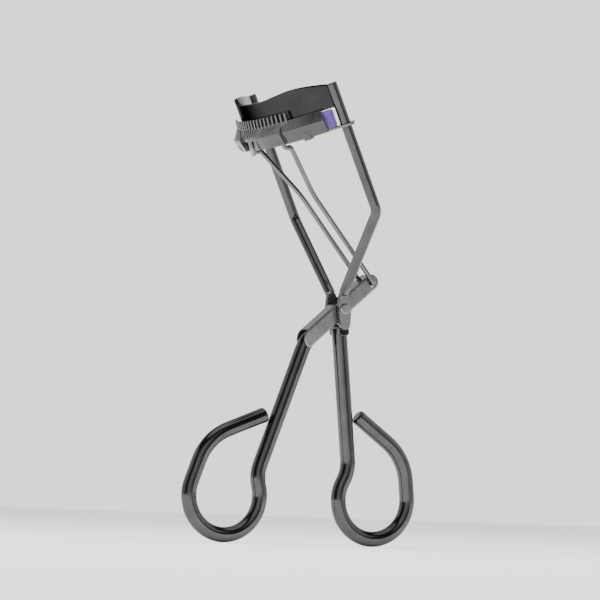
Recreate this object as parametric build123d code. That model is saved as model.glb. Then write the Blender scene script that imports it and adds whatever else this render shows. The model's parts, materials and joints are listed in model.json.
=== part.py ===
from build123d import *
import os
from math import atan2, cos, degrees, hypot, radians, sin, sqrt, tan

# Eyelash curler, in millimetres. Every piece is drawn in the curler's own layout: the pivot is the
# origin, X runs across the jaws, Y points at the eye, and Z runs up along the two uprights.
# stand() then leans the whole curler until it stands level on its two finger rings.

# frame
ROD_X = 20.0            # half the distance between the two uprights
ROD_Y = 7.2             # the uprights' distance behind the pivot
ROD_TOP_Z = 49.6
ROD_BEND_Z = 19.6
ROD_R = 1.15
ROD_BEND_R = 3.2
EAR_IN = 2.45           # inner face of each ear
EAR_T = 1.1
EAR_LEAN = 19.5         # degrees from Z, towards the eye at the top
EAR_UP = 3.9            # height of the round rod's end above the pivot, along the ear
EAR_HALF_W = 1.45
EAR_TOP_HALF_W = 0.85
EAR_END_HALF_W = 1.0
EAR_DOWN = 4.6          # the ear's lower end below the pivot
ROD_END_X = 3.6

# pivot
RIVET_R = 0.75
RIVET_HEAD_R = 1.2
RIVET_HEAD_H = 0.42
RIVET_HEAD_ROUND = 0.32

# handles and finger rings
HANDLE_R = 1.7
FIXED_LEAN = 17.7       # degrees from straight down, towards the front
LEVER_LEAN = 44.0
FIXED_RING_AT = 24.0    # pivot to the ring's free end, along the shank
LEVER_RING_AT = 18.6    # lever's bend to the ring's free end
RING_W = 14.2           # shank to the far side of the ring, centre to centre
FIXED_RING_LEN = 27.7   # free end to the ring's bottom
LEVER_RING_LEN = 28.9
RING_R = 8.6            # the ring's round bottom
RING_IN = 35.0          # degrees that the shank turns inwards before the bottom
RING_BACK = 48.0        # degrees between the ring's returning leg and the shank
RING_SHOULDER_R = 12.0
RING_IN_R = 8.0
RING_END_V = 2.95       # centre of the free end from the shank's centre
HEAD_TOP = 3.35         # top of the fixed handle's cross head below the pivot
HEAD_H = 2.5
HEAD_W = 2.4

# lever bracket, a channel with its spine in front; s runs along it, t towards the spine
BRACKET_LEAN = 17.4     # degrees from Y, up towards the eye
BRACKET_HALF_W = 2.2
BRACKET_WALL = 0.5
BRACKET_HALF_H = 1.73
BRACKET_S0 = -12.0
BRACKET_S1 = 9.65       # centre of the rounded upper end
SPINE_S0 = -9.3
PIVOT_HOLE_R = 0.8
EYE_S = 9.5
EYE_T = -0.35
EYE_R = 0.74
BEND_S = -10.9          # where the lever handle bends down
LEVER_BEND_R = 8.0
TANG_S = -3.4           # upper end of the lever handle inside the channel

# yoke wire
WIRE_R = 0.55
WIRE_X = 2.95           # the arms beside the bracket
WIRE_SPLAY_Z = 26.3     # height where the arms start to spread
WIRE_TOP_X = 7.5        # the arms at the lower jaw
WIRE_BEND_R = 0.75
WIRE_SPLAY_R = 12.0
CRANK_Y = -2.58         # the wire's upright ends
CRANK_LEN = 1.4
CRANK_Z = 38.6
TIP_Z = 41.0

# jaws: everything curves about one upright line through (0, ARC_Y)
ARC_Y = 19.9
JAW_R = hypot(ROD_X, ARC_Y - ROD_Y)
ROD_ANGLE = degrees(atan2(ROD_X, ARC_Y - ROD_Y))
PLATE_T = 0.8
PLATE_Z0 = 44.4
PLATE_EDGE = [          # top edge of the right half, as (X, Z): lowest in the middle and at the rods
    (0, 49.9), (6.6, 50.1), (13.6, 50.8), (17.4, 50.2), (20, 49.2)]
PLATE_TOP_Z = 51.5
CHANNEL_Z = 39.7
CHANNEL_FLOOR = 0.5
CHANNEL_WALL = 0.4
CHANNEL_HALF = 1.6      # half the channel's outer width
CHANNEL_BACK_Z = 42.8
CHANNEL_FRONT_Z = 42.0
WALL_END = 48.5         # degrees from the middle of the jaw to the ends of the channel's walls
EYELET_CLEAR = 0.12
EYELET_W = 0.8
TAIL_X = 23.0
SLOT_HALF_X = 0.85
SLOT_HALF_Y = 1.08
PAD_GAP = 0.03
PAD_TOP_Z = 44.2
PAD_ROUND = 0.8
PAD_END = 53.2
POCKET_Z = 41.6

# comb clipped on the front of the lower jaw; ribs and teeth share one pitch
COMB_END = 48.4
COMB_IN = JAW_R + CHANNEL_HALF + 0.05
COMB_TOP_IN = JAW_R + 1.25
COMB_TOP_Z = 44.75      # the slope's upper edge, in front of the upper jaw's lower edge
COMB_RIM_T = 0.3
COMB_BOTTOM_Z = 39.9
NOSE_R = COMB_IN + 1.15
NOSE_Z = 42.65
LOBE_R = COMB_IN + 1.75
LOBE_FOOT_R = COMB_IN + 1.1
LOBE_X0 = 4.0
LOBE_X1 = 11.4
TOOTH_PITCH = 2.87      # degrees
TOOTH_COUNT = 21
TOOTH_W = 0.5
TOOTH_T = 0.65
TOOTH_TIP_T = 0.4
TOOTH_TIP_Z = 46.6
RIB_H = 0.3
RIB_W = 0.4
RIB_SWEEP = 0.64        # a slope rib's lower end is this share of its upper end's angle
LOBE_RIB_SWEEP = 1.15
LOBE_RIBS = 6
LOBE_RIB_PITCH = 1.6    # degrees
TAB_HALF_X = 0.8
TAB_Z = 38.85
CLIP_ANGLE = 37.5
CLIP_HALF = 1.8         # degrees
CLIP_Z = 39.35
CLIP_REACH = 1.3


def side_plane(x, lean):
    """A plane facing +X whose own Y axis leans from Z towards Y by lean degrees."""
    a = radians(lean)
    return Plane(origin=(x, 0, 0), x_dir=(0, cos(a), -sin(a)), z_dir=(1, 0, 0))


def rod(points, radii, r):
    """Round rod along straight runs joined by tangent arcs."""
    path = FilletPolyline(*points, radius=radii)
    start = Plane(origin=path @ 0, z_dir=path % 0)
    return sweep(start * Circle(r), path=path)


def mirrored(shape):
    return mirror(shape, about=Plane.YZ)


# ---- curved jaw pieces ----

def on_arc(r, angle, z):
    a = radians(angle)
    return Vector(r * sin(a), ARC_Y - r * cos(a), z)


def section_plane(angle):
    """Plane through the jaws' centre line at this angle; its X is the radius and its Y is Z."""
    a = radians(angle)
    out = Vector(sin(a), -cos(a), 0)
    return Plane(origin=(0, ARC_Y, 0), x_dir=out, z_dir=(-cos(a), -sin(a), 0))


def turned(profile, start, end):
    """Sweep a (radius, height) outline round the jaws' centre line."""
    face = section_plane(start) * make_face(Polyline(*profile, close=True))
    return revolve(face, axis=Axis((0, ARC_Y, 0), (0, 0, 1)), revolution_arc=end - start)


def upright():
    """Right-hand upright: straight rod, bend, and a foot pressed flat into an ear."""
    a = radians(EAR_LEAN)
    foot = Vector(ROD_END_X, EAR_UP * sin(a), EAR_UP * cos(a))
    bend = Vector(ROD_X, ROD_Y, ROD_BEND_Z)
    bar = rod([Vector(ROD_X, ROD_Y, ROD_TOP_Z), bend, foot], ROD_BEND_R, ROD_R)
    bar += Pos(foot.X, foot.Y, foot.Z) * Sphere(ROD_R)
    rim = bar.edges().sort_by(Axis.Z)[-1]
    bar = fillet(rim, 0.25)
    top = EAR_UP - 0.3
    end = EAR_DOWN - 0.5
    sides = [
        Spline((-EAR_TOP_HALF_W, top), (-EAR_HALF_W, 0.2), (-EAR_HALF_W, -1.4), (-EAR_END_HALF_W, -end)),
        ThreePointArc((-EAR_END_HALF_W, -end), (0, -EAR_DOWN), (EAR_END_HALF_W, -end)),
        Spline((EAR_END_HALF_W, -end), (EAR_HALF_W, -1.4), (EAR_HALF_W, 0.2), (EAR_TOP_HALF_W, top)),
        Line((EAR_TOP_HALF_W, top), (-EAR_TOP_HALF_W, top)),
    ]
    outline = make_face(sides) - Circle(RIVET_R)
    ear = extrude(side_plane(EAR_IN, EAR_LEAN) * outline, amount=EAR_T)
    return bar + ear


def upper_jaw():
    r_in = JAW_R - PLATE_T / 2
    r_out = JAW_R + PLATE_T / 2
    section = [(r_in, PLATE_Z0), (r_out, PLATE_Z0), (r_out, PLATE_TOP_Z), (r_in, PLATE_TOP_Z)]
    plate = turned(section, -ROD_ANGLE + 1, ROD_ANGLE - 1)
    left = [(-x, z) for x, z in reversed(PLATE_EDGE[1:])]
    end_x, end_z = PLATE_EDGE[-1]
    below = PLATE_Z0 - 1
    outline = make_face([
        Spline(*(left + PLATE_EDGE)), Line((end_x, end_z), (end_x, below)),
        Line((end_x, below), (-end_x, below)), Line((-end_x, below), (-end_x, end_z))])
    front = Plane(origin=(0, 0, 0), x_dir=(1, 0, 0), z_dir=(0, -1, 0))
    plate = plate & extrude(front * outline, amount=40, both=True)
    for x in (-ROD_X, ROD_X):
        plate -= Pos(x, ROD_Y, PLATE_Z0) * Cylinder(ROD_R, 30)
    return plate


def ring_points(start, ring_at, ring_len):
    """Shank and open finger ring, as (distance along the shank, distance out to the side)."""
    bottom = ring_at + ring_len
    in_v = RING_W - RING_R * (tan(radians(45 + RING_IN / 2)) + 1)
    turn_in = bottom + in_v / tan(radians(RING_IN))
    shoulder = ring_at + (RING_W - RING_END_V) / tan(radians(RING_BACK))
    points = [(start, 0), (turn_in, 0), (bottom, in_v), (bottom, RING_W), (shoulder, RING_W)]
    points.append((ring_at, RING_END_V))
    radii = [RING_IN_R, RING_R - 0.02, RING_R - 0.02, RING_SHOULDER_R]
    return points, radii


def shank_point(origin, lean, outward, s, v):
    """Point on a handle, s along its shank and v out to the ring's side (+1 eye, -1 front)."""
    a = radians(lean)
    along = Vector(0, -sin(a), -cos(a))
    out = Vector(0, cos(a), -sin(a)) * outward
    return origin + along * s + out * v


def rounded_end(bar, near):
    """Round the rim of a rod's cut end."""
    rim = bar.edges().filter_by(GeomType.CIRCLE).sort_by_distance(near)[0]
    return fillet(rim, 0.6)


def fixed_handle():
    points, radii = ring_points(HEAD_TOP + 0.9, FIXED_RING_AT, FIXED_RING_LEN)
    pivot = Vector(0, 0, 0)
    path = [shank_point(pivot, FIXED_LEAN, 1, s, v) for s, v in points]
    bar = rounded_end(rod(path, radii, HANDLE_R), path[-1])
    head = Box(HEAD_W, HEAD_H, 2 * EAR_IN)
    head = fillet(head.edges().filter_by(Axis.Z), 0.6)
    return bar + side_plane(0, FIXED_LEAN) * Pos(0, -HEAD_TOP - HEAD_H / 2, 0) * head


def pivot_rivet():
    """Shank through both ears with a low round-edged head at each end."""
    face_x = EAR_IN + EAR_T
    along_x = Rot(0, 90, 0)
    rivet = along_x * Cylinder(RIVET_R, 2 * face_x)
    for side in (-1, 1):
        rivet += Pos(side * (face_x + RIVET_HEAD_H / 2), 0, 0) * along_x * Cylinder(RIVET_HEAD_R, RIVET_HEAD_H)
    rims = rivet.edges().filter_by(GeomType.CIRCLE).sort_by(Axis.X)
    return fillet([rims[0], rims[-1]], RIVET_HEAD_ROUND)


def bracket_plane(x):
    """Faces +X; its X axis is s, its Y axis is t."""
    a = radians(BRACKET_LEAN)
    return Plane(origin=(x, 0, 0), x_dir=(0, cos(a), sin(a)), z_dir=(1, 0, 0))


def lever_bracket():
    h = BRACKET_HALF_H
    tip = BRACKET_S1 + h
    outline = make_face([
        Line((SPINE_S0, h), (BRACKET_S1, h)),
        ThreePointArc((BRACKET_S1, h), (tip, 0), (BRACKET_S1, -h)),
        Line((BRACKET_S1, -h), (BRACKET_S0 + 0.7, -h)),
        ThreePointArc((BRACKET_S0 + 0.7, -h), (BRACKET_S0 + 0.15, -h + 0.3), (BRACKET_S0, -0.9)),
        ThreePointArc((BRACKET_S0, -0.9), (BRACKET_S0 + 0.8, 0.95), (SPINE_S0, h)),
    ])
    outline -= Circle(PIVOT_HOLE_R)
    outline -= Pos(EYE_S, EYE_T) * Circle(EYE_R)
    body = extrude(bracket_plane(-BRACKET_HALF_W) * outline, amount=2 * BRACKET_HALF_W)
    inside = 2 * (BRACKET_HALF_W - BRACKET_WALL)
    hollow = Box(60, 2 * h, inside)
    body -= bracket_plane(0) * Pos(0, -BRACKET_WALL, 0) * hollow
    ends = [Pos(BRACKET_S1 + 10, 0, 0), Pos(SPINE_S0 - 10, 0, 0)]
    for end in ends:
        body -= bracket_plane(0) * end * Box(20, 4 * h, inside)
    spine = body.edges().filter_by(lambda e: abs(e.length - (BRACKET_S1 - SPINE_S0)) < 0.01)
    outer = spine.sort_by(Axis.Z)[-2:]
    return fillet(outer, 0.4)


def lever_bend():
    """Where the lever handle's centre line turns down, at the bracket's lower end."""
    t = BRACKET_HALF_H - BRACKET_WALL - HANDLE_R
    return bracket_plane(0).from_local_coords((BEND_S, t, 0))


def lever_handle():
    t = BRACKET_HALF_H - BRACKET_WALL - HANDLE_R
    top = bracket_plane(0).from_local_coords((TANG_S, t, 0))
    bend = lever_bend()
    points, radii = ring_points(0, LEVER_RING_AT, LEVER_RING_LEN)
    path = [shank_point(bend, LEVER_LEAN, -1, s, v) for s, v in points]
    bar = rounded_end(rod([top] + path, [LEVER_BEND_R] + radii, HANDLE_R), path[-1])
    flat = Box(8.0, 2.0, 6.0)
    place = Pos(TANG_S - 2.6, -BRACKET_HALF_H - 1.0, 0)
    return bar - bracket_plane(0) * place * flat


def eye_centre():
    return bracket_plane(0).from_local_coords((EYE_S, EYE_T, 0))


def yoke():
    """One wire: cross bar through the bracket's eyes, two arms, and a cranked end on each."""
    eye = eye_centre()
    top = Vector(WIRE_TOP_X, CRANK_Y + CRANK_LEN, CRANK_Z)
    part_way = (WIRE_SPLAY_Z - eye.Z) / (top.Z - eye.Z)
    splay = Vector(WIRE_X, eye.Y + (top.Y - eye.Y) * part_way, WIRE_SPLAY_Z)
    right = [
        Vector(WIRE_X, eye.Y, eye.Z),
        splay,
        top,
        Vector(WIRE_TOP_X, CRANK_Y, CRANK_Z),
        Vector(WIRE_TOP_X, CRANK_Y, TIP_Z),
    ]
    left = [Vector(-p.X, p.Y, p.Z) for p in reversed(right)]
    bends = [WIRE_BEND_R, WIRE_SPLAY_R, WIRE_BEND_R, WIRE_BEND_R]
    radii = [WIRE_BEND_R, WIRE_BEND_R, WIRE_SPLAY_R, WIRE_BEND_R] + bends
    return rod(left + right, radii, WIRE_R)


def lower_jaw():
    r_in = JAW_R - CHANNEL_HALF
    r_out = JAW_R + CHANNEL_HALF
    floor = CHANNEL_Z + CHANNEL_FLOOR
    section = [
        (r_in, CHANNEL_Z), (r_out, CHANNEL_Z), (r_out, CHANNEL_FRONT_Z),
        (r_out - CHANNEL_WALL, CHANNEL_FRONT_Z), (r_out - CHANNEL_WALL, floor),
        (r_in + CHANNEL_WALL, floor), (r_in + CHANNEL_WALL, CHANNEL_BACK_Z),
        (r_in, CHANNEL_BACK_Z),
    ]
    jaw = turned(section, -WALL_END, WALL_END)
    hole_r = ROD_R + EYELET_CLEAR
    eyelet_r = hole_r + EYELET_W
    neck = [(r_in + 0.3, CHANNEL_Z), (r_out - 0.3, CHANNEL_Z), (r_out - 0.3, floor), (r_in + 0.3, floor)]
    centre = Pos(ROD_X, ROD_Y, CHANNEL_Z + CHANNEL_FLOOR / 2)
    tail = make_face(Polyline(
        (ROD_X, ROD_Y - eyelet_r), (TAIL_X, ROD_Y - 0.3), (TAIL_X, ROD_Y + 0.3),
        (ROD_X, ROD_Y + eyelet_r), close=True))
    eyelet = turned(neck, WALL_END - 0.5, ROD_ANGLE) + centre * Cylinder(eyelet_r, CHANNEL_FLOOR)
    eyelet += extrude(Pos(0, 0, CHANNEL_Z) * tail, amount=CHANNEL_FLOOR)
    eyelet -= centre * Cylinder(hole_r, 3 * CHANNEL_FLOOR)
    jaw += eyelet + mirrored(eyelet)
    for x in (-WIRE_TOP_X, WIRE_TOP_X):
        jaw -= Pos(x, CRANK_Y, CHANNEL_Z) * Box(2 * SLOT_HALF_X, 2 * SLOT_HALF_Y, 2 * CHANNEL_FLOOR + 0.4)
    return jaw


def lash_pad():
    half = CHANNEL_HALF - CHANNEL_WALL - PAD_GAP
    floor = CHANNEL_Z + CHANNEL_FLOOR
    r_in = JAW_R - half
    r_out = JAW_R + half
    section = [(r_in, floor), (r_out, floor), (r_out, PAD_TOP_Z), (r_in, PAD_TOP_Z)]
    pad = turned(section, -PAD_END, PAD_END)
    top = pad.edges().filter_by(GeomType.CIRCLE).group_by(Axis.Z)[-1]
    pad = fillet(top, PAD_ROUND)
    for x in (-WIRE_TOP_X, WIRE_TOP_X):
        pad -= Pos(x, CRANK_Y, floor) * Box(2 * SLOT_HALF_X, 4 * CHANNEL_HALF, 2 * (POCKET_Z - floor))
    return pad


def comb_ledge(foot_z, foot_r):
    """Outline of the comb's wedge: over the channel's front wall, out to the nose, back in."""
    over_wall = CHANNEL_FRONT_Z + 0.05
    return [
        (COMB_TOP_IN, over_wall), (COMB_TOP_IN, COMB_TOP_Z), (COMB_TOP_IN + COMB_RIM_T, COMB_TOP_Z),
        (NOSE_R, NOSE_Z), (NOSE_R, NOSE_Z - 0.35), (foot_r, foot_z), (COMB_IN, foot_z),
        (COMB_IN, over_wall),
    ]


def comb_tooth(angle):
    """Upright tooth in front of the upper jaw, thinner towards its tip."""
    face = section_plane(angle) * make_face(Polyline(
        (COMB_TOP_IN, COMB_TOP_Z - 0.3), (COMB_TOP_IN + TOOTH_T, COMB_TOP_Z - 0.6),
        (COMB_TOP_IN + TOOTH_T - 0.05, COMB_TOP_Z + 0.2), (COMB_TOP_IN + TOOTH_TIP_T, TOOTH_TIP_Z - 0.15),
        (COMB_TOP_IN + TOOTH_TIP_T - 0.15, TOOTH_TIP_Z), (COMB_TOP_IN, TOOTH_TIP_Z), close=True))
    return extrude(face, amount=TOOTH_W / 2, both=True)


def rib_end(angle, low, high, width):
    """Small upright rectangle across the radius, one end of a slanting rib."""
    (r0, z0), (r1, z1) = low, high
    a = radians(angle)
    side = Vector(cos(a), sin(a), 0) * (width / 2)
    bottom = on_arc(r0, angle, z0)
    top = on_arc(r1, angle, z1)
    return make_face(Polyline(bottom - side, bottom + side, top + side, top - side, close=True))


def comb_rib(angle, nose_r):
    """Raised rib that carries a tooth's line down the slope, slanting towards the middle."""
    r = COMB_TOP_IN + COMB_RIM_T
    upper = rib_end(angle, (r - 0.1, COMB_TOP_Z - 0.4), (r + 0.15, COMB_TOP_Z + RIB_H * 0.8), RIB_W)
    lower = rib_end(angle * RIB_SWEEP, (nose_r - 0.35, NOSE_Z - 0.25), (nose_r, NOSE_Z + RIB_H), RIB_W)
    return loft([upper, lower])


def lobe_rib(angle):
    """Fine rib down the sloping face of a lobe, slanting away from the middle."""
    out = 0.18
    low_z = COMB_BOTTOM_Z + 0.25
    upper = rib_end(angle, (LOBE_R - 0.4, NOSE_Z - 0.3), (LOBE_R + out * 0.5, NOSE_Z + RIB_H), RIB_W * 0.8)
    lower = rib_end(
        angle * LOBE_RIB_SWEEP, (LOBE_FOOT_R - 0.35, low_z), (LOBE_FOOT_R + out, low_z), RIB_W * 0.8)
    return loft([upper, lower])


def arc_angle(x, r):
    return degrees(atan2(x, sqrt(r * r - x * x)))


def lash_comb():
    wide = turned(comb_ledge(COMB_BOTTOM_Z, COMB_IN + 0.35), -COMB_END, COMB_END)
    gap = turned([
        (COMB_IN - 1, NOSE_Z - 0.5), (LOBE_R + 3, NOSE_Z - 0.5),
        (LOBE_R + 3, CLIP_Z - 2), (COMB_IN - 1, CLIP_Z - 2)],
        -arc_angle(LOBE_X0, COMB_IN), arc_angle(LOBE_X0, COMB_IN))
    comb = wide - gap
    lobe_outline = [
        (COMB_IN - 0.2, COMB_TOP_Z - 0.4), (COMB_TOP_IN + COMB_RIM_T, COMB_TOP_Z), (LOBE_R, NOSE_Z),
        (LOBE_R, NOSE_Z - 0.35), (LOBE_FOOT_R, COMB_BOTTOM_Z), (COMB_IN, COMB_BOTTOM_Z),
        (COMB_IN, COMB_TOP_Z - 1.2),
    ]
    lobe_start = arc_angle(LOBE_X0, LOBE_R)
    lobe_end = arc_angle(LOBE_X1, LOBE_R)
    lobe = turned(lobe_outline, lobe_start, lobe_end)
    for k in range(LOBE_RIBS):
        lobe += lobe_rib((lobe_end - 1.5) / LOBE_RIB_SWEEP - LOBE_RIB_PITCH * k)
    comb += lobe + mirrored(lobe)
    for k in range(TOOTH_COUNT):
        angle = (k - (TOOTH_COUNT - 1) / 2) * TOOTH_PITCH
        on_lobe = lobe_start < abs(angle * RIB_SWEEP) < lobe_end
        comb += comb_tooth(angle) + comb_rib(angle, LOBE_R if on_lobe else NOSE_R)
    tab_end = arc_angle(TAB_HALF_X, NOSE_R)
    tab = turned([
        (NOSE_R - 0.6, NOSE_Z - 0.1), (NOSE_R, NOSE_Z - 0.1), (NOSE_R + 0.4, TAB_Z),
        (NOSE_R - 0.2, TAB_Z)],
        -tab_end, tab_end)
    lower = tab.edges().filter_by(lambda e: abs(e.length - 0.6) < 0.01).group_by(Axis.Z)[0]
    comb += fillet(lower, TAB_HALF_X - 0.12)
    clip = turned([
        (COMB_IN, COMB_BOTTOM_Z + 1.2), (COMB_IN + 0.9, COMB_BOTTOM_Z + 1.2), (COMB_IN + 0.6, CLIP_Z),
        (COMB_IN - CLIP_REACH, CLIP_Z), (COMB_IN - CLIP_REACH, CHANNEL_Z), (COMB_IN, CHANNEL_Z)],
        CLIP_ANGLE - CLIP_HALF, CLIP_ANGLE + CLIP_HALF)
    return comb + clip + mirrored(clip)


def ring_centre(origin, lean, outward, bottom):
    s = bottom - RING_R
    return shank_point(origin, lean, outward, s, RING_W - RING_R)


FIXED_RING = ring_centre(Vector(0, 0, 0), FIXED_LEAN, 1, FIXED_RING_AT + FIXED_RING_LEN)
LEVER_RING = ring_centre(lever_bend(), LEVER_LEAN, -1, LEVER_RING_AT + LEVER_RING_LEN)
STAND_ANGLE = degrees(atan2(LEVER_RING.Z - FIXED_RING.Z, FIXED_RING.Y - LEVER_RING.Y))


def leaned(point):
    """A point after the curler leans about the pivot until both rings are level."""
    a = radians(STAND_ANGLE)
    return Vector(point.X, point.Y * cos(a) - point.Z * sin(a), point.Y * sin(a) + point.Z * cos(a))


def stand(shape):
    """Lean the curler, then put the middle of its footprint at the origin and the rings on Z = 0."""
    return Pos(0, SHIFT_Y, SHIFT_Z) * Rot(STAND_ANGLE, 0, 0) * shape


def stood(point):
    return leaned(point) + Vector(0, SHIFT_Y, SHIFT_Z)


PIECES = {
    "upright_right": upright(),
    "upright_left": mirrored(upright()),
    "upper_jaw": upper_jaw(),
    "fixed_handle": fixed_handle(),
    "pivot_rivet": pivot_rivet(),
    "lever_bracket": lever_bracket(),
    "lever_handle": lever_handle(),
    "yoke": yoke(),
    "lower_jaw": lower_jaw(),
    "lash_pad": lash_pad(),
    "lash_comb": lash_comb(),
}

leaned_boxes = [(Rot(STAND_ANGLE, 0, 0) * piece).bounding_box() for piece in PIECES.values()]
SHIFT_Y = -(min(b.min.Y for b in leaned_boxes) + max(b.max.Y for b in leaned_boxes)) / 2
SHIFT_Z = -min(b.min.Z for b in leaned_boxes)

os.makedirs("parts", exist_ok=True)
for name, piece in PIECES.items():
    export_step(stand(piece), f"parts/{name}.step")
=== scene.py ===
import json
from math import atan2, cos, pi, radians, sin, sqrt

import bpy
from mathutils import Matrix, Vector


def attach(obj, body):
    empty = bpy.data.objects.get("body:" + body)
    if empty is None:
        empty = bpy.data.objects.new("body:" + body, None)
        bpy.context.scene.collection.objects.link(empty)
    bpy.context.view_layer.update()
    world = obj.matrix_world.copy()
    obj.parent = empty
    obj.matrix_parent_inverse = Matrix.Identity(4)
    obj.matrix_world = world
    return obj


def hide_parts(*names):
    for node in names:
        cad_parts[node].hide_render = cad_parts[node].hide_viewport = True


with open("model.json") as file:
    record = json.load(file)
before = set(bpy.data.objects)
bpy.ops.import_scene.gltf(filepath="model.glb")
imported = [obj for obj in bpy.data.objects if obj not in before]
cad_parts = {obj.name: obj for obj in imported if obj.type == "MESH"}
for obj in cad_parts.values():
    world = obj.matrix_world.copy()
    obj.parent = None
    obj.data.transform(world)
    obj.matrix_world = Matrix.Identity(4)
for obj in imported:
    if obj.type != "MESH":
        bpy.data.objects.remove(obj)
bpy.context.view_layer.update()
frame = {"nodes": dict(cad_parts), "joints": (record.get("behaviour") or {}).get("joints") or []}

nodes = frame["nodes"]
joints = {j["name"]: j for j in frame["joints"]}
pivot = Vector(joints["lever_pivot"]["pos_m"])
eye = Vector(joints["yoke_pivot"]["pos_m"])
up_the_rods = Vector(joints["jaw_slide"]["axis"]).normalized()
lean = atan2(-up_the_rods.y, up_the_rods.z)
bracket_tilt = atan2(eye.z - pivot.z, eye.y - pivot.y)

MM = 0.001
RELIEF_DEPTH = 0.02 * MM


def add_object(name, data):
    added = bpy.data.objects.new(name, data)
    bpy.context.collection.objects.link(added)
    return added


# ---- camera ----

CAMERA_AZIMUTH = radians(63.5)
CAMERA_ELEVATION = radians(-2.71)
CAMERA_ROLL = radians(1.95)
CAMERA_DISTANCE = 1.0
VIEW_WIDTH = 0.13353
PIVOT_RIGHT = 0.00841       # where the pivot sits from the middle of the view
PIVOT_DOWN = 0.00209


def add_camera():
    """Make the scene's camera and return the direction from the object to it."""
    back = Vector((
        sin(CAMERA_AZIMUTH) * cos(CAMERA_ELEVATION),
        -cos(CAMERA_AZIMUTH) * cos(CAMERA_ELEVATION),
        sin(CAMERA_ELEVATION)))
    level = Vector((cos(CAMERA_AZIMUTH), sin(CAMERA_AZIMUTH), 0))
    upright = back.cross(level)
    right = level * cos(CAMERA_ROLL) + upright * sin(CAMERA_ROLL)
    up = back.cross(right)
    data = bpy.data.cameras.new("camera")
    data.sensor_width = 36
    data.lens = data.sensor_width * CAMERA_DISTANCE / VIEW_WIDTH
    data.clip_start = 0.01
    data.clip_end = 30
    camera = add_object("camera", data)
    turn = Matrix((right, up, back)).transposed().to_4x4()
    target = pivot - right * PIVOT_RIGHT + up * PIVOT_DOWN
    camera.matrix_world = Matrix.Translation(target + back * CAMERA_DISTANCE) @ turn
    bpy.context.scene.camera = camera
    return back


to_camera = add_camera()


# ---- node helpers ----

class Tree:
    """Short way to add nodes to a material or world and wire them up."""

    def __init__(self, tree):
        self.tree = tree

    def add(self, kind, settings=None, **inputs):
        node = self.tree.nodes.new(kind)
        for name, value in (settings or {}).items():
            setattr(node, name, value)
        for name, value in inputs.items():
            self.put(node, name.replace("_", " "), value)
        return node

    def put(self, node, name, value):
        socket = node.inputs[int(name)] if name.isdigit() else node.inputs[name]
        if isinstance(value, bpy.types.NodeSocket):
            self.tree.links.new(value, socket)
        else:
            socket.default_value = value

    def math(self, operation, first, second=0.0, clamp=False):
        node = self.add("ShaderNodeMath", {"operation": operation, "use_clamp": clamp})
        self.put(node, "0", first)
        self.put(node, "1", second)
        return node.outputs[0]

    def vector_math(self, operation, first, second):
        node = self.add("ShaderNodeVectorMath", {"operation": operation})
        self.put(node, "0", first)
        self.put(node, "1", second)
        return node.outputs["Vector" if operation == "SUBTRACT" else "Value"]

    def spread(self, value, low, high, to_low=0.0, to_high=1.0):
        """Map low..high to to_low..to_high, held at both ends."""
        node = self.add("ShaderNodeMapRange", {"clamp": True})
        for name, number in (("Value", value), ("From Min", low), ("From Max", high),
                             ("To Min", to_low), ("To Max", to_high)):
            self.put(node, name, number)
        return node.outputs["Result"]

    def mix(self, amount, first, second):
        node = self.add("ShaderNodeMix", {"data_type": "RGBA"})
        self.put(node, "0", amount)
        self.put(node, "6", first)
        self.put(node, "7", second)
        return node.outputs[2]

    def noise(self, where, scale, detail=3.0, roughness=0.55):
        node = self.add("ShaderNodeTexNoise", Scale=scale, Detail=detail, Roughness=roughness)
        self.put(node, "Vector", where)
        return node.outputs["Fac"]

    def ramp(self, value, stops):
        node = self.add("ShaderNodeValToRGB")
        band = node.color_ramp
        while len(band.elements) < len(stops):
            band.elements.new(0.5)
        for element, (place, level) in zip(band.elements, stops):
            element.position = place
            element.color = (level, level, level, 1)
        self.put(node, "Fac", value)
        return node.outputs["Color"]

    def object_place(self):
        return self.add("ShaderNodeTexCoord").outputs["Object"]

    def normal(self, name="Normal"):
        return self.add("ShaderNodeNewGeometry").outputs[name]

    def facing_sideways(self):
        """1 where the surface faces left or right, 0 where it faces forwards, back, up or down."""
        return self.math("ABSOLUTE", self.vector_math("DOT_PRODUCT", self.normal(), (1, 0, 0)))

    def bevel(self, radius, flat, sharp):
        """Rounded normal for the edges, and a mask that runs from flat (0) to sharp (1)."""
        rounded = self.add("ShaderNodeBevel", {"samples": 6}, Radius=radius).outputs[0]
        aligned = self.vector_math("DOT_PRODUCT", rounded, self.normal())
        return rounded, self.spread(aligned, flat, sharp)

    def relief(self, shader, height, strength, normal=None):
        bump = self.add("ShaderNodeBump", Strength=strength, Distance=RELIEF_DEPTH)
        self.put(bump, "Height", height)
        if normal is not None:
            self.put(bump, "Normal", normal)
        self.put(shader, "Normal", bump.outputs[0])


def source(shader, name):
    """What is wired to a socket of the shader so far."""
    return shader.inputs[name].links[0].from_socket


def grey(r, g=None, b=None):
    """Neutral colour from one number, or a colour from three."""
    return (r, r if g is None else g, r if b is None else b, 1)


def new_material(name):
    material = bpy.data.materials.new(name)
    material.use_nodes = True
    tree = Tree(material.node_tree)
    return material, tree, material.node_tree.nodes["Principled BSDF"]


# ---- the jaws' layout ----

# Millimetres and degrees, measured from the pivot: Z runs up the rods, and everything curves about
# one line through (0, ARC_Y).
ARC_Y = 19.9
JAW_R = 23.65


def from_layout(radius, angle, height):
    """Point of the shared frame for a place round the jaws."""
    a = radians(angle)
    x, y = radius * sin(a), ARC_Y - radius * cos(a)
    turned = Vector((x, y * cos(lean) - height * sin(lean), y * sin(lean) + height * cos(lean)))
    return pivot + turned * MM


# ---- materials ----

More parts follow.
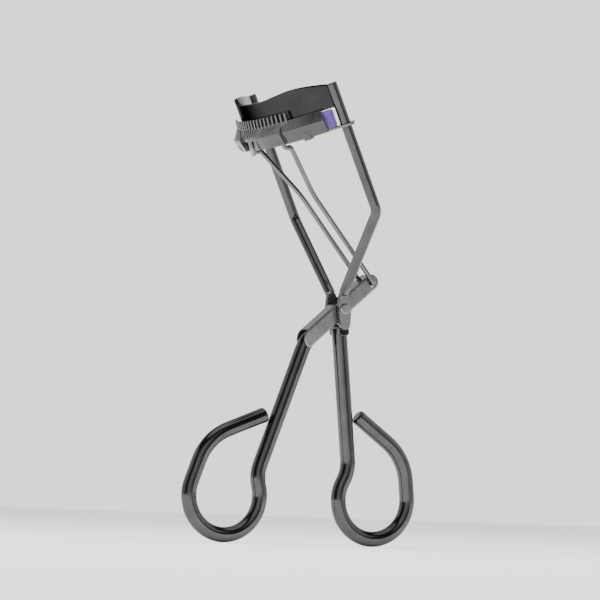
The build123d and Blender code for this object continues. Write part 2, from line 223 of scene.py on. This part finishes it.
# Noise scales along X, Y and Z.
EVEN_GRAIN = (2600.0, 2600.0, 2600.0)
ROD_GRAIN = (1500.0, 1500.0, 700.0)
DRAWN_GRAIN = (9000.0, 500.0, 9000.0)
CHROME_DARK = grey(0.065, 0.07, 0.068)
CHROME_LIGHT = grey(0.095, 0.10, 0.098)


def metal(name, dark, light, rough, grain=EVEN_GRAIN, tilt=0.0, bump=0.05, edge=0.14):
    """Plated steel: cloudy tone, fine grain, dulled smudges and brighter, worn edges.

    tilt turns the grain about X in radians, and edge is the width of the worn edges in mm.
    """
    material, t, shader = new_material(name)
    place = t.object_place()
    turned = t.add("ShaderNodeMapping", {"vector_type": "POINT"}, Vector=place)
    turned.inputs["Rotation"].default_value = (-tilt, 0, 0)
    scaled = t.add("ShaderNodeMapping", {"vector_type": "POINT"}, Vector=turned.outputs[0])
    scaled.inputs["Scale"].default_value = grain
    fine = t.noise(scaled.outputs[0], 1.0, 4.0, 0.6)
    clouds = t.noise(place, 190.0, 4.0, 0.6)
    smudge = t.spread(t.noise(place, 95.0, 5.0, 0.65), 0.5, 0.72)
    rounded, rim = t.bevel(edge * MM, 0.995, 0.86)
    worn = t.math("MULTIPLY", rim, t.spread(t.noise(place, 900.0, 3.0), 0.36, 0.6), clamp=True)
    tone = t.mix(t.spread(clouds, 0.3, 0.7), dark, light)
    pale = tuple(min(1.0, c * 1.9 + 0.05) for c in light[:3]) + (1,)
    tone = t.mix(t.math("MULTIPLY", worn, 0.55), tone, pale)
    t.put(shader, "Base Color", tone)
    shader.inputs["Metallic"].default_value = 1.0
    texture = t.spread(fine, 0.25, 0.75, rough * 0.8, rough * 1.25)
    dulled = t.math("ADD", texture, t.math("MULTIPLY", smudge, rough * 0.45))
    t.put(shader, "Roughness", t.math("ADD", dulled, t.math("MULTIPLY", worn, 0.1)))
    t.relief(shader, fine, bump, rounded)
    return material, t, shader


def rod_material(name, dark, light, rough):
    """Polished black chrome: barely any grain, long soft smudges."""
    return metal(name, dark, light, rough, grain=ROD_GRAIN, bump=0.02, edge=0.1)[0]


def comb_material():
    """Glossy moulded black plastic, greyer on its edges (rubbed wear and a painted edge highlight),
    with a painted glint in grey on the tab under its middle.
    """
    material, t, shader = new_material("comb_plastic")
    place = t.object_place()
    clouds = t.noise(place, 320.0, 4.0, 0.6)
    fine = t.noise(place, 3400.0, 3.0, 0.6)
    rounded, rim = t.bevel(0.12 * MM, 0.99, 0.8)
    tone = t.mix(t.spread(clouds, 0.3, 0.7), grey(0.014, 0.015, 0.015), grey(0.026, 0.028, 0.027))
    # Edges painted grey: partly rubbed wear, partly a painted highlight along the edges.
    worn = t.mix(t.math("MULTIPLY", rim, 0.6), tone, grey(0.20, 0.21, 0.205))
    # Painted glint: the tab under the comb's middle is painted grey where light glints off its
    # curved bottom.
    tab_middle = from_layout(26.6, 0, 39.3)
    painted_tab_glint = t.spread(t.vector_math("DISTANCE", place, tuple(tab_middle)), 1.9 * MM, 1.2 * MM)
    t.put(shader, "Base Color", t.mix(painted_tab_glint, worn, grey(0.16, 0.165, 0.16)))
    t.put(shader, "Roughness", t.spread(clouds, 0.3, 0.75, 0.15, 0.27))
    shader.inputs["Specular IOR Level"].default_value = 0.65
    shader.inputs["Coat Weight"].default_value = 0.25
    shader.inputs["Coat Roughness"].default_value = 0.16
    t.relief(shader, fine, 0.12, rounded)
    return material


def pad_material():
    """Purple silicone: soft sheen, light inside it, dust and a cloudy tone."""
    material, t, shader = new_material("pad_silicone")
    place = t.object_place()
    clouds = t.noise(place, 420.0, 4.0, 0.6)
    fine = t.noise(place, 5200.0, 3.0, 0.65)
    dust = t.spread(t.noise(place, 2600.0, 2.0, 0.5), 0.66, 0.74)
    deep, light, dusty = (0.070, 0.032, 0.230, 1), (0.110, 0.055, 0.320, 1), (0.45, 0.38, 0.65, 1)
    tone = t.mix(t.spread(clouds, 0.3, 0.7), deep, light)
    t.put(shader, "Base Color", t.mix(t.math("MULTIPLY", dust, 0.3), tone, dusty))
    t.put(shader, "Roughness", t.spread(fine, 0.3, 0.7, 0.34, 0.5))
    shader.inputs["Subsurface Weight"].default_value = 0.25
    shader.inputs["Subsurface Radius"].default_value = (0.4, 0.25, 1.0)
    shader.inputs["Subsurface Scale"].default_value = 0.8 * MM
    shader.inputs["Sheen Weight"].default_value = 0.15
    t.relief(shader, fine, 0.15)
    return material


def upright_material():
    """Black chrome on the rod, changing to satin on the pressed ear round the pivot."""
    material, t, shader = metal(
        "upright_chrome", CHROME_DARK, CHROME_LIGHT, 0.13, grain=ROD_GRAIN, bump=0.03, edge=0.12)
    away = t.vector_math("DISTANCE", t.object_place(), tuple(pivot))
    near = t.spread(away, 6.6 * MM, 7.6 * MM, 1.0, 0.0)
    satin = t.math("MULTIPLY", near, t.spread(t.facing_sideways(), 0.6, 0.9))
    rough = source(shader, "Roughness")
    t.put(shader, "Roughness", t.math("ADD", rough, t.math("MULTIPLY", satin, 0.24)))
    tone = source(shader, "Base Color")
    t.put(shader, "Base Color", t.mix(satin, tone, grey(0.22, 0.23, 0.225)))
    return material


def plate_material():
    """Dark glossy outside of the upper jaw; its hollow side, towards the eye, is paler."""
    material, t, shader = metal(
        "jaw_plate_chrome", grey(0.026), grey(0.036), 0.2, bump=0.04, edge=0.16)
    axis_point = from_layout(0, 0, 47.0)
    outwards = t.vector_math("SUBTRACT", t.object_place(), tuple(axis_point))
    facing = t.vector_math("DOT_PRODUCT", t.normal("True Normal"), outwards)
    hollow = t.spread(facing, -10 * MM, -14 * MM)
    shader.inputs["Specular Tint"].default_value = grey(0.25)
    tone = source(shader, "Base Color")
    t.put(shader, "Base Color", t.mix(hollow, tone, grey(0.62, 0.63, 0.62)))
    return material


def bracket_material():
    """Satin sides with a drawn grain; the rounded spine is polished, and painted dark like the
    handles as a painted reflection of dark surroundings.
    """
    material, t, shader = metal(
        "bracket_satin", grey(0.19, 0.20, 0.195), grey(0.25, 0.26, 0.255), 0.34,
        grain=DRAWN_GRAIN, tilt=bracket_tilt, bump=0.12, edge=0.2)
    # Painted reflection: the rounded spine's colour is darkened to stand in for the dark
    # surroundings it mirrors; its lower roughness is real polish.
    spine_gloss_and_painted_dark = t.spread(t.facing_sideways(), 0.75, 0.35)
    tone = source(shader, "Base Color")
    t.put(shader, "Base Color", t.mix(spine_gloss_and_painted_dark, tone, grey(0.06, 0.065, 0.062)))
    rough = source(shader, "Roughness")
    t.put(shader, "Roughness", t.math("SUBTRACT", rough, t.math("MULTIPLY", spine_gloss_and_painted_dark, 0.16)))
    return material


handle_metal = rod_material("handle_chrome", CHROME_DARK, CHROME_LIGHT, 0.13)
wire_metal = rod_material("yoke_chrome", grey(0.12, 0.125, 0.122), grey(0.165, 0.17, 0.168), 0.14)
upright_metal = upright_material()
plate_metal = plate_material()
bracket_metal = bracket_material()
rivet_metal = metal("rivet_satin", grey(0.22), grey(0.28), 0.3, bump=0.08, edge=0.1)[0]
channel_metal = metal(
    "channel_satin", grey(0.13, 0.138, 0.134), grey(0.18, 0.188, 0.184), 0.26, bump=0.08)[0]
comb_plastic = comb_material()
pad_silicone = pad_material()

NODE_MATERIALS = {
    "upright_left": upright_metal,
    "upright_right": upright_metal,
    "upper_jaw": plate_metal,
    "fixed_handle": handle_metal,
    "lever_handle": handle_metal,
    "pivot_rivet": rivet_metal,
    "lever_bracket": bracket_metal,
    "yoke": wire_metal,
    "lower_jaw": channel_metal,
    "lash_comb": comb_plastic,
}
for node, material in NODE_MATERIALS.items():
    for slot in nodes[node].material_slots:
        slot.material = material


# ---- silicone pad ----

# Millimetres and degrees, in the jaws' layout.
PAD_FLOOR = 40.22
PAD_TOP = 44.2
PAD_HALF = 1.15             # half the pad's width
PAD_OUT = 0.05              # how far the pad's middle lies outside JAW_R
PAD_BULGE = 0.22            # how far the free part hangs over the low back wall
PAD_END = 53.1              # angle at each end
WALL_BACK = 42.82           # height of the low back wall
CROWN_H = 0.62
CROWN_STEPS = 16
CROWN_WIDE = 0.7            # powers below 1 square the crown off
CROWN_HIGH = 0.8
IMPRINT = 0.07              # depth of the dent that the upper jaw leaves in the crown
IMPRINT_HALF = 0.42
END_ROUND = 0.6             # length over which each end closes in
END_NARROWING = 0.5
SECTIONS = 150
SMOOTH_ANGLE = radians(50)


def pad_outline():
    """Section as (across, height): up the inner side, over the crown, down the outer side."""
    side = PAD_HALF
    bulge = PAD_HALF + PAD_BULGE
    points = [(-side, PAD_FLOOR), (-side, 41.0), (-side, 42.0), (-side, WALL_BACK)]
    points += [(-bulge + 0.02, WALL_BACK + 0.03), (-bulge, WALL_BACK + 0.16)]
    for k in range(CROWN_STEPS + 1):
        a = radians(180 - 180 * k / CROWN_STEPS)
        across = cos(a)
        reach, sign = (side, 1) if across > 0 else (bulge, -1)
        dip = IMPRINT * max(0.0, 1 - (across * reach / IMPRINT_HALF) ** 2)
        rise = CROWN_H * sin(a) ** CROWN_HIGH
        width = sign * reach * abs(across) ** CROWN_WIDE
        points.append((width, PAD_TOP - CROWN_H + rise - dip))
    points += [(side, 42.6), (side, 41.6), (side, PAD_FLOOR)]
    return points


def pad_rings():
    """The outline carried round the jaws' curve and drawn in towards its middle at both ends."""
    outline = pad_outline()
    middle = (PAD_FLOOR + PAD_TOP) / 2
    length = radians(2 * PAD_END) * JAW_R
    rings = []
    for k in range(SECTIONS + 1):
        angle = -PAD_END + 2 * PAD_END * k / SECTIONS
        from_end = min(k, SECTIONS - k) / SECTIONS * length
        shrink = 1.0
        if from_end <= END_ROUND:
            shrink = sqrt(1 - ((END_ROUND - from_end) / END_ROUND) ** 2 * END_NARROWING)
        squash = (1 + shrink) / 2
        ring = []
        for across, height in outline:
            radius = JAW_R + PAD_OUT + across * shrink
            ring.append(from_layout(radius, angle, middle + (height - middle) * squash))
        rings.append(ring)
    return rings


def build_pad():
    rings = pad_rings()
    count = len(rings[0])
    vertices = [v for ring in rings for v in ring]
    faces = []
    for k in range(SECTIONS):
        here, there = k * count, (k + 1) * count
        for i in range(count):
            j = (i + 1) % count
            faces.append((here + i, here + j, there + j, there + i))
    faces.append(tuple(range(count))[::-1])
    faces.append(tuple(SECTIONS * count + i for i in range(count)))
    mesh = bpy.data.meshes.new("silicone_pad")
    mesh.from_pydata(vertices, [], faces)
    mesh.validate()
    mesh.materials.append(pad_silicone)
    pad = add_object("silicone_pad", mesh)
    for polygon in mesh.polygons:
        polygon.use_smooth = True
    mesh.set_sharp_from_angle(angle=SMOOTH_ANGLE)
    return pad


pad = build_pad()
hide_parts("lash_pad")
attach(pad, "moving_jaw")


# ---- floor, light and surroundings ----

FLOOR_HALF = 6.0
CAMERA_BEARING = atan2(to_camera.y, to_camera.x)

# Light all round the object, as (part of a full turn, brightness); 0 lies on the camera's side.
PANELS = [
    (0.00, 1.25), (0.03, 1.15), (0.05, 0.62), (0.085, 0.58), (0.105, 0.10), (0.155, 0.10),
    (0.185, 1.0), (0.33, 1.35), (0.50, 1.0), (0.66, 1.15), (0.80, 1.0), (0.835, 0.10),
    (0.91, 0.08), (0.95, 0.95)]
DARK_GAP = grey(0.08)
CEILING = grey(1.4)
OPEN_AIR = grey(1.6, 1.595, 1.585)


def floor_material():
    """Pale matt paint with the slightest cloudiness."""
    material, t, shader = new_material("floor_paint")
    soft = t.noise(t.object_place(), 3.0, 2.0, 0.5)
    t.put(shader, "Base Color", t.mix(soft, grey(0.86, 0.857, 0.853), grey(0.88, 0.877, 0.873)))
    shader.inputs["Roughness"].default_value = 0.9
    shader.inputs["Specular IOR Level"].default_value = 0.1
    return material


def add_floor():
    corners = [(-FLOOR_HALF, -FLOOR_HALF, 0), (FLOOR_HALF, -FLOOR_HALF, 0),
               (FLOOR_HALF, FLOOR_HALF, 0), (-FLOOR_HALF, FLOOR_HALF, 0)]
    mesh = bpy.data.meshes.new("floor")
    mesh.from_pydata(corners, [], [(0, 1, 2, 3)])
    mesh.materials.append(floor_material())
    floor = add_object("floor", mesh)


def add_softbox(name, azimuth, elevation, distance, width, height, power):
    """Area light that faces the object; azimuth is seen from the camera, 0 behind it."""
    a = CAMERA_BEARING + radians(azimuth)
    e = radians(elevation)
    away = Vector((cos(a) * cos(e), sin(a) * cos(e), sin(e)))
    data = bpy.data.lights.new(name, "AREA")
    data.shape = "RECTANGLE"
    data.size = width
    data.size_y = height
    data.energy = power
    light = add_object(name, data)
    light.location = pivot + away * distance
    light.rotation_mode = "QUATERNION"
    light.rotation_quaternion = away.to_track_quat("Z", "Y")
    light.visible_camera = False
    light.visible_glossy = False


def add_world():
    """Pale surroundings; what the metal mirrors is a studio of light panels and dark gaps."""
    world = bpy.data.worlds.new("studio")
    world.use_nodes = True
    bpy.context.scene.world = world
    t = Tree(world.node_tree)
    background = world.node_tree.nodes["Background"]
    direction = t.add("ShaderNodeTexCoord").outputs["Generated"]
    split = t.add("ShaderNodeSeparateXYZ", Vector=direction)
    around = t.math("ARCTAN2", split.outputs["Y"], split.outputs["X"])
    turn = t.math("FRACT", t.math("DIVIDE", t.math("ADD", around, 4 * pi - CAMERA_BEARING), 2 * pi))
    panels = t.ramp(turn, PANELS)
    height = split.outputs["Z"]
    gap = t.mix(t.spread(height, 0.60, 0.68), panels, DARK_GAP)
    mirrored = t.mix(t.spread(height, 0.84, 0.90), gap, CEILING)
    path = t.add("ShaderNodeLightPath")
    open_air = t.math("MAXIMUM", path.outputs["Is Camera Ray"], path.outputs["Is Diffuse Ray"])
    t.put(background, "Color", t.mix(open_air, mirrored, OPEN_AIR))
    background.inputs["Strength"].default_value = 1.0


add_floor()
add_world()
add_softbox("key", -55, 50, 0.9, 0.7, 0.7, 11.0)
add_softbox("fill", 70, 35, 1.1, 0.8, 0.8, 5.0)
